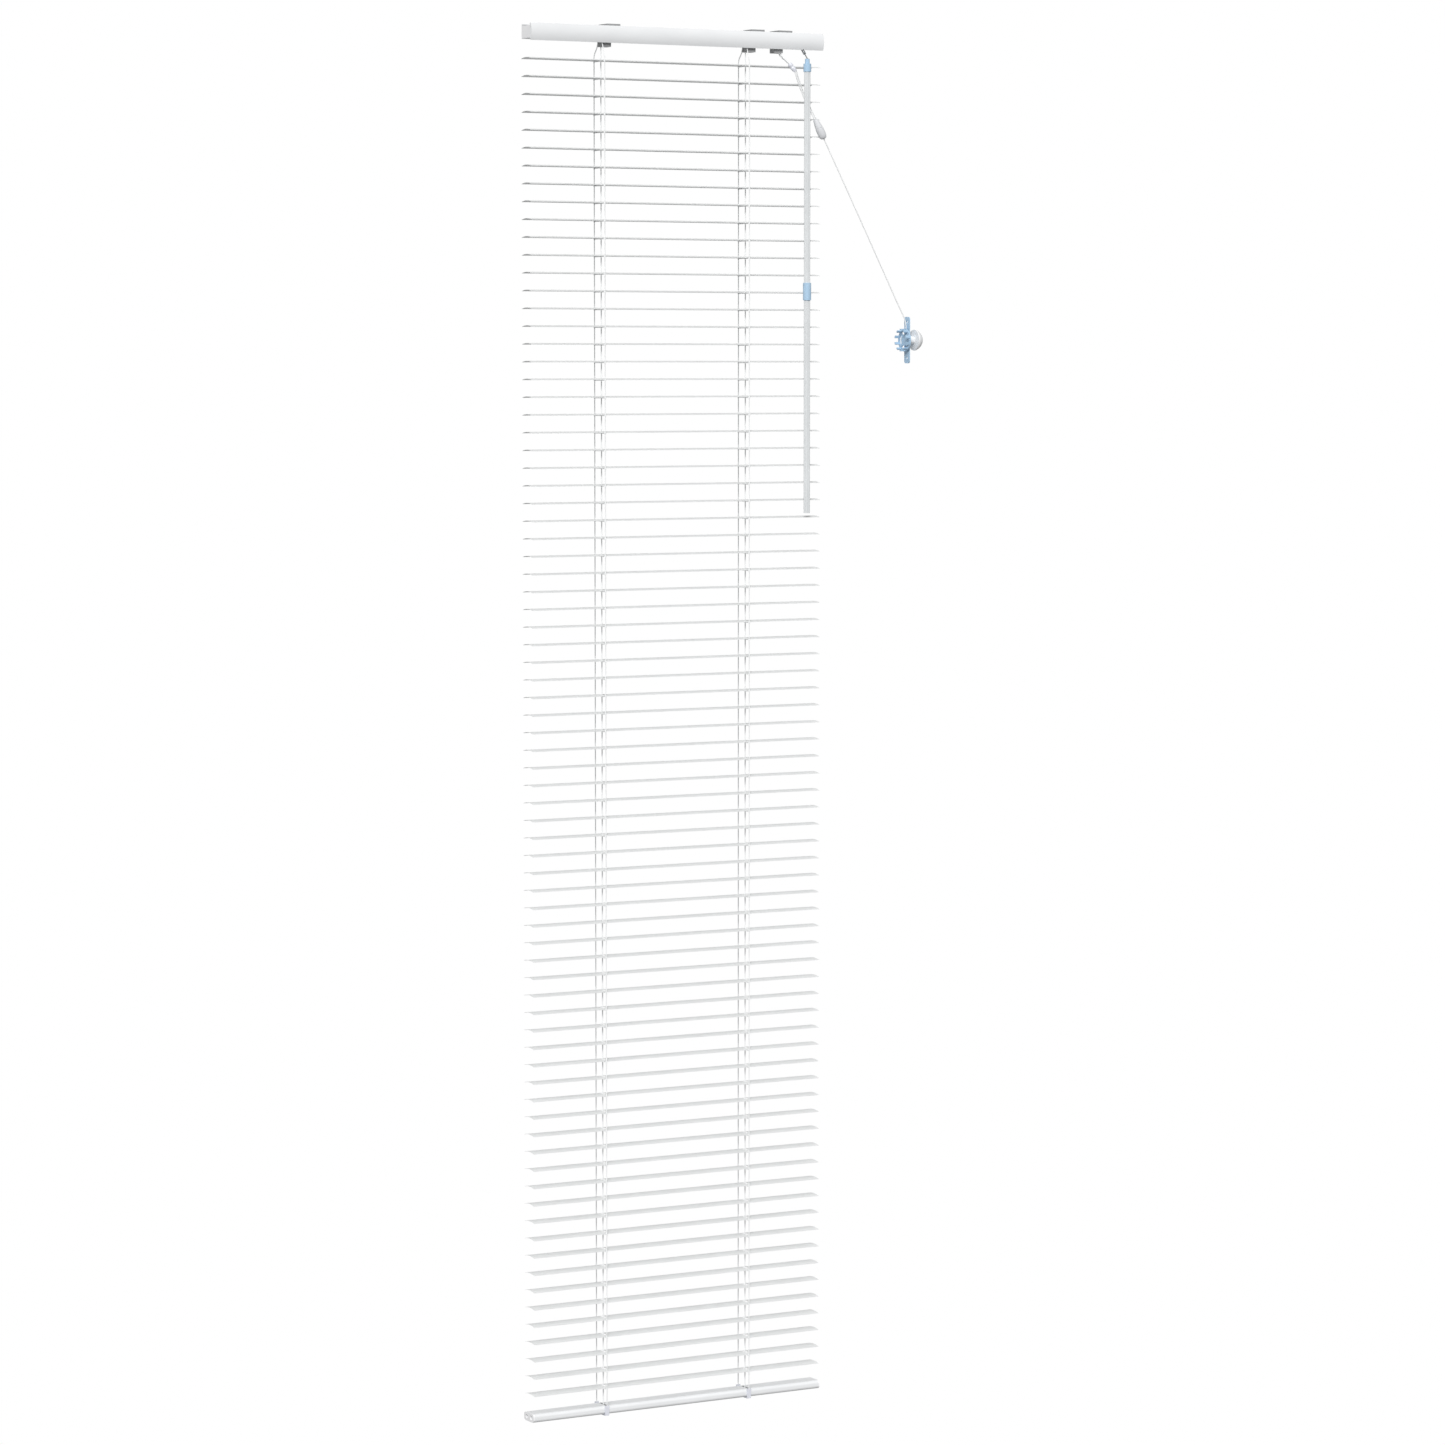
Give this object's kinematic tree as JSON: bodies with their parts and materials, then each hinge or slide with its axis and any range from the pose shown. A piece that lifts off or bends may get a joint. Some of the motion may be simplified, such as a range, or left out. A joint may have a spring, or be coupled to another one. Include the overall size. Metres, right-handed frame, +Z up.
{
  "type": "venetian blind",
  "caption": "Narrow venetian blind with crowned aluminium slats on string ladders, a channel headrail, a tilt wand, a pull cord with condenser and a cord winder.",
  "frame": {"origin": "middle of the back face of the headrail, halfway along, halfway up", "axes": "+X right as seen from the room, +Y towards the wall, +Z up; the room is on the -Y side"},
  "size_m": [0.5379, 0.0454, 1.6729],
  "materials": {
    "painted_aluminium": "satin white enamel",
    "grey_plastic": "matt moulded",
    "white_plastic": "semi-gloss moulded",
    "clear_plastic": "translucent extruded",
    "condenser_plastic": "semi-gloss moulded",
    "blue_plastic": "translucent pale blue",
    "lilac_plastic": "translucent pale lilac",
    "steel": "zinc plated",
    "cord": "braided polyester"
  },
  "bodies": {
    "frame": {"headrail": "painted_aluminium", "front_cover": "painted_aluminium", "end_cap_left": "grey_plastic", "end_cap_right": "grey_plastic", "cradle_left": "grey_plastic", "cradle_right": "grey_plastic", "cord_lock": "grey_plastic", "tilter_housing": "grey_plastic", "ladder_tops": "cord", "rungs_upper": "cord", "slats_upper": "painted_aluminium", "lift_cord_runs": "cord", "lift_cords": "cord", "pull_strand_left": "cord", "pull_strand_right": "cord", "cord_joiner": "lilac_plastic", "cord_condenser": "condenser_plastic", "pull_cord": "cord", "winder_bracket": "blue_plastic"},
    "lock_roller": {"cord_lock_roller": "steel"},
    "rod": {"tilt_rod": "steel", "drum_left": "white_plastic", "drum_right": "white_plastic", "tilt_gear": "white_plastic"},
    "worm": {"tilter_worm": "steel"},
    "wand": {"wand_cap": "blue_plastic", "wand_upper": "clear_plastic", "wand_sleeve": "blue_plastic", "wand_lower": "clear_plastic"},
    "ladder_front": {"ladder_front": "cord", "ladder_front_low": "cord"},
    "ladder_back": {"ladder_back": "cord", "ladder_back_low": "cord"},
    "cord_ends": {"cord_knots": "cord", "lift_cords_low": "cord"},
    "rail": {"bottom_rail": "painted_aluminium", "rail_cap_left": "grey_plastic", "rail_cap_right": "grey_plastic", "rail_clips": "lilac_plastic"},
    "spool": {"winder_spool": "blue_plastic", "winder_knob": "white_plastic"},
    "ladder_step_70": {"rungs_70": "cord"},
    "slat_70": {"slat_70": "painted_aluminium"},
    "ladder_step_71": {"rungs_71": "cord"},
    "slat_71": {"slat_71": "painted_aluminium"},
    "ladder_step_72": {"rungs_72": "cord"},
    "slat_72": {"slat_72": "painted_aluminium"},
    "ladder_step_73": {"rungs_73": "cord"},
    "slat_73": {"slat_73": "painted_aluminium"},
    "ladder_step_74": {"rungs_74": "cord"},
    "slat_74": {"slat_74": "painted_aluminium"},
    "ladder_step_75": {"rungs_75": "cord"},
    "slat_75": {"slat_75": "painted_aluminium"},
    "ladder_step_76": {"rungs_76": "cord"},
    "slat_76": {"slat_76": "painted_aluminium"},
    "ladder_step_77": {"rungs_77": "cord"},
    "slat_77": {"slat_77": "painted_aluminium"}
  },
  "joints": [
    {"name": "wand_turn", "type": "hinge", "parent": "frame", "child": "wand", "pos_m": [0.1725, -0.0318, -0.3], "axis": [0, 0, 1], "range_deg": [-1200, 1200], "deforming": ["ladder_tops"]},
    {"name": "worm_turn", "type": "hinge", "parent": "frame", "child": "worm", "pos_m": [0.1725, -0.0318, -0.022], "axis": [0, 0.7071, 0.7071], "range_deg": [-1200, 1200]},
    {"name": "rod_turn", "type": "hinge", "parent": "frame", "child": "rod", "pos_m": [0, -0.0144, 0.0032], "axis": [1, 0, 0], "range_deg": [-60, 60]},
    {"name": "ladder_front_slide", "type": "slide", "parent": "frame", "child": "ladder_front", "axis": [0, 0, -1], "range_m": [-0.011, 0.011]},
    {"name": "ladder_back_slide", "type": "slide", "parent": "ladder_front", "child": "ladder_back", "axis": [0, 0, 1], "range_m": [-0.022, 0.022]},
    {"name": "lift", "type": "slide", "parent": "frame", "child": "cord_ends", "axis": [0, 0, 1], "range_m": [0, 0.145], "deforming": ["lift_cords_low", "ladder_front_low", "ladder_back_low"]},
    {"name": "rail_tilt", "type": "hinge", "parent": "cord_ends", "child": "rail", "pos_m": [0, -0.0126, -1.65485], "axis": [1, 0, 0], "range_deg": [-60, 60]},
    {"name": "lock_roller_spin", "type": "hinge", "parent": "frame", "child": "lock_roller", "pos_m": [0.1402, -0.013, -0.0024], "axis": [0, 1, 0], "continuous": true},
    {"name": "winder_spin", "type": "hinge", "parent": "frame", "child": "spool", "pos_m": [0.317, -0.03, -0.3617], "axis": [1, 0, 0], "continuous": true},
    {"name": "step_70_lift", "type": "slide", "parent": "frame", "child": "ladder_step_70", "axis": [0, 0, 1], "range_m": [0, 0.0075]},
    {"name": "slat_70_tilt", "type": "hinge", "parent": "ladder_step_70", "child": "slat_70", "pos_m": [0, -0.0126, -1.4812], "axis": [1, 0, 0], "range_deg": [-60, 60], "deforming": ["rungs_70"]},
    {"name": "step_71_lift", "type": "slide", "parent": "frame", "child": "ladder_step_71", "axis": [0, 0, 1], "range_m": [0, 0.0255]},
    {"name": "slat_71_tilt", "type": "hinge", "parent": "ladder_step_71", "child": "slat_71", "pos_m": [0, -0.0126, -1.5022], "axis": [1, 0, 0], "range_deg": [-60, 60], "deforming": ["rungs_71"]},
    {"name": "step_72_lift", "type": "slide", "parent": "frame", "child": "ladder_step_72", "axis": [0, 0, 1], "range_m": [0, 0.0435]},
    {"name": "slat_72_tilt", "type": "hinge", "parent": "ladder_step_72", "child": "slat_72", "pos_m": [0, -0.0126, -1.5232], "axis": [1, 0, 0], "range_deg": [-60, 60], "deforming": ["rungs_72"]},
    {"name": "step_73_lift", "type": "slide", "parent": "frame", "child": "ladder_step_73", "axis": [0, 0, 1], "range_m": [0, 0.0615]},
    {"name": "slat_73_tilt", "type": "hinge", "parent": "ladder_step_73", "child": "slat_73", "pos_m": [0, -0.0126, -1.5442], "axis": [1, 0, 0], "range_deg": [-60, 60], "deforming": ["rungs_73"]},
    {"name": "step_74_lift", "type": "slide", "parent": "frame", "child": "ladder_step_74", "axis": [0, 0, 1], "range_m": [0, 0.0795]},
    {"name": "slat_74_tilt", "type": "hinge", "parent": "ladder_step_74", "child": "slat_74", "pos_m": [0, -0.0126, -1.5652], "axis": [1, 0, 0], "range_deg": [-60, 60], "deforming": ["rungs_74"]},
    {"name": "step_75_lift", "type": "slide", "parent": "frame", "child": "ladder_step_75", "axis": [0, 0, 1], "range_m": [0, 0.0975]},
    {"name": "slat_75_tilt", "type": "hinge", "parent": "ladder_step_75", "child": "slat_75", "pos_m": [0, -0.0126, -1.5862], "axis": [1, 0, 0], "range_deg": [-60, 60], "deforming": ["rungs_75"]},
    {"name": "step_76_lift", "type": "slide", "parent": "frame", "child": "ladder_step_76", "axis": [0, 0, 1], "range_m": [0, 0.1155]},
    {"name": "slat_76_tilt", "type": "hinge", "parent": "ladder_step_76", "child": "slat_76", "pos_m": [0, -0.0126, -1.6072], "axis": [1, 0, 0], "range_deg": [-60, 60], "deforming": ["rungs_76"]},
    {"name": "step_77_lift", "type": "slide", "parent": "frame", "child": "ladder_step_77", "axis": [0, 0, 1], "range_m": [0, 0.1335]},
    {"name": "slat_77_tilt", "type": "hinge", "parent": "ladder_step_77", "child": "slat_77", "pos_m": [0, -0.0126, -1.6282], "axis": [1, 0, 0], "range_deg": [-60, 60], "deforming": ["rungs_77"]}
  ],
  "couplings": [
    {"joint": "wand_turn", "follows": "rail_tilt", "ratio": 20},
    {"joint": "worm_turn", "follows": "rail_tilt", "ratio": 20},
    {"joint": "rod_turn", "follows": "rail_tilt", "ratio": 1},
    {"joint": "ladder_front_slide", "follows": "rail_tilt", "m_per_rad": 0.010337},
    {"joint": "ladder_back_slide", "follows": "rail_tilt", "m_per_rad": 0.020674},
    {"joint": "step_70_lift", "follows": "lift", "ratio": 0.051724},
    {"joint": "slat_70_tilt", "follows": "rail_tilt", "ratio": 1},
    {"joint": "step_71_lift", "follows": "lift", "ratio": 0.17586},
    {"joint": "slat_71_tilt", "follows": "rail_tilt", "ratio": 1},
    {"joint": "step_72_lift", "follows": "lift", "ratio": 0.3},
    {"joint": "slat_72_tilt", "follows": "rail_tilt", "ratio": 1},
    {"joint": "step_73_lift", "follows": "lift", "ratio": 0.42414},
    {"joint": "slat_73_tilt", "follows": "rail_tilt", "ratio": 1},
    {"joint": "step_74_lift", "follows": "lift", "ratio": 0.54828},
    {"joint": "slat_74_tilt", "follows": "rail_tilt", "ratio": 1},
    {"joint": "step_75_lift", "follows": "lift", "ratio": 0.67241},
    {"joint": "slat_75_tilt", "follows": "rail_tilt", "ratio": 1},
    {"joint": "step_76_lift", "follows": "lift", "ratio": 0.79655},
    {"joint": "slat_76_tilt", "follows": "rail_tilt", "ratio": 1},
    {"joint": "step_77_lift", "follows": "lift", "ratio": 0.92069},
    {"joint": "slat_77_tilt", "follows": "rail_tilt", "ratio": 1}
  ]
}
